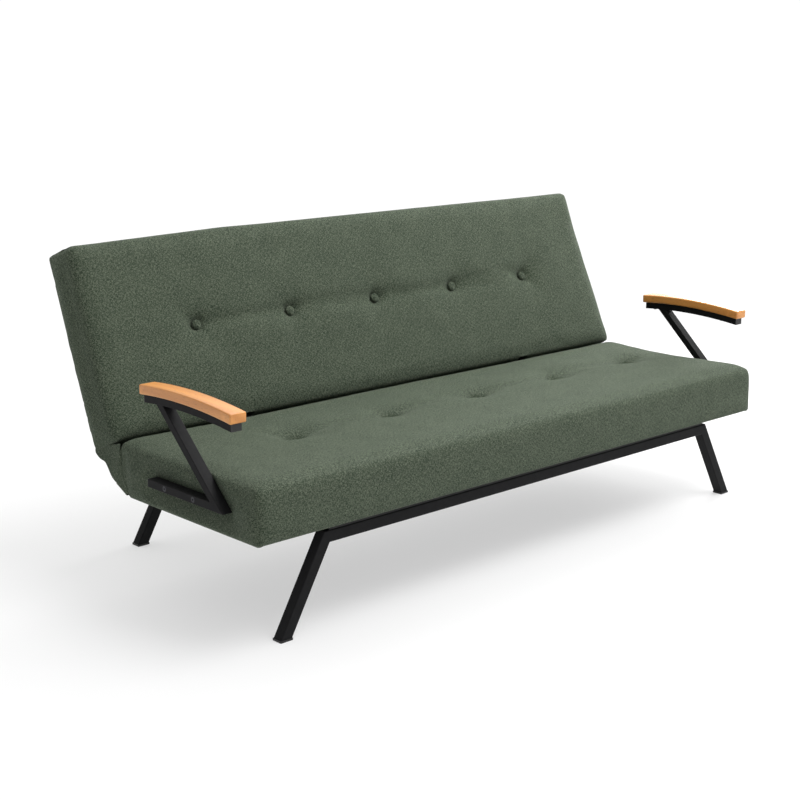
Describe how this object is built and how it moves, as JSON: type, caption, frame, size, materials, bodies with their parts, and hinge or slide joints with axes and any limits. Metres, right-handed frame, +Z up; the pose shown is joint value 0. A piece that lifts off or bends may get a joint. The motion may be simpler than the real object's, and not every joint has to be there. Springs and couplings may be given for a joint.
{
  "type": "sofa bed",
  "caption": "Upholstered click-clack sofa bed whose back folds level with the seat, on splayed black tube legs, with arched wooden armrests on Z-shaped arms.",
  "frame": {"origin": "on the floor, under the middle of the sofa's bounding box with the back upright", "axes": "+X along the sofa towards the sitter's left, +Y to the rear, +Z up"},
  "size_m": [1.967, 0.8698, 0.861],
  "materials": {
    "green_fabric": "woven melange",
    "black_steel": "satin powder coat",
    "beech": "satin lacquer",
    "pine": "sawn",
    "zinc_steel": "zinc plated",
    "black_bolt": "black oxide",
    "spring_steel": "oiled",
    "black_plastic": "matte",
    "black_rubber": "matte",
    "black_cloth": "non-woven",
    "webbing": "jute"
  },
  "bodies": {
    "base": {"front_bar": "black_steel", "rear_bar": "black_steel", "front_left_leg": "black_steel", "front_right_leg": "black_steel", "rear_left_leg": "black_steel", "rear_right_leg": "black_steel", "left_side_rail": "black_steel", "right_side_rail": "black_steel", "feet": "black_plastic", "front_rest_strip": "black_rubber", "rear_rest_blocks": "black_rubber", "hinge_base_plates": "black_steel", "hinge_pins": "zinc_steel", "pawl_pins": "zinc_steel", "pawl_springs": "spring_steel", "base_hinge_bolts": "zinc_steel"},
    "seat": {"seat_front_rail": "pine", "seat_rear_rail": "pine", "seat_left_side": "pine", "seat_right_side": "pine", "seat_cross_rails": "pine", "seat_springs": "spring_steel", "seat_cloth": "black_cloth", "seat_pad": "green_fabric", "seat_buttons": "green_fabric", "seat_hinge_arms": "black_steel", "seat_hinge_bolts": "zinc_steel", "left_arm_base_bar": "black_steel", "left_arm_strut": "black_steel", "left_arm_top_bar": "black_steel", "left_armrest": "beech", "right_arm_base_bar": "black_steel", "right_arm_strut": "black_steel", "right_arm_top_bar": "black_steel", "right_armrest": "beech", "arm_bolts": "black_bolt", "armrest_screws": "zinc_steel", "arm_end_caps": "black_plastic"},
    "back": {"back_bottom_rail": "pine", "back_top_rail": "pine", "back_left_side": "pine", "back_right_side": "pine", "back_cross_rails": "pine", "back_webbing": "webbing", "back_panel": "green_fabric", "back_pad": "green_fabric", "back_buttons": "green_fabric", "back_hinge_arms": "black_steel", "back_hinge_bolts": "zinc_steel", "gusset": "green_fabric"},
    "left_pawl": {"left_ratchet_pawl": "zinc_steel"},
    "right_pawl": {"right_ratchet_pawl": "zinc_steel"}
  },
  "joints": [
    {"name": "seat_lift", "type": "hinge", "parent": "base", "child": "seat", "pos_m": [0, 0.1476, 0.36798], "axis": [-1, 0, 0], "range_deg": [0, 18]},
    {"name": "back_recline", "type": "hinge", "parent": "base", "child": "back", "pos_m": [0, 0.1476, 0.36798], "axis": [-1, 0, 0], "range_deg": [0, 66.8], "deforming": ["gusset"]},
    {"name": "left_pawl_lift", "type": "hinge", "parent": "base", "child": "left_pawl", "pos_m": [0, 0.1476, 0.30598], "axis": [1, 0, 0], "range_deg": [0, 8], "stiffness_Nm_per_rad": 0.2, "springref_deg": -5.73},
    {"name": "right_pawl_lift", "type": "hinge", "parent": "base", "child": "right_pawl", "pos_m": [0, 0.1476, 0.30598], "axis": [1, 0, 0], "range_deg": [0, 8], "stiffness_Nm_per_rad": 0.2, "springref_deg": -5.73}
  ]
}
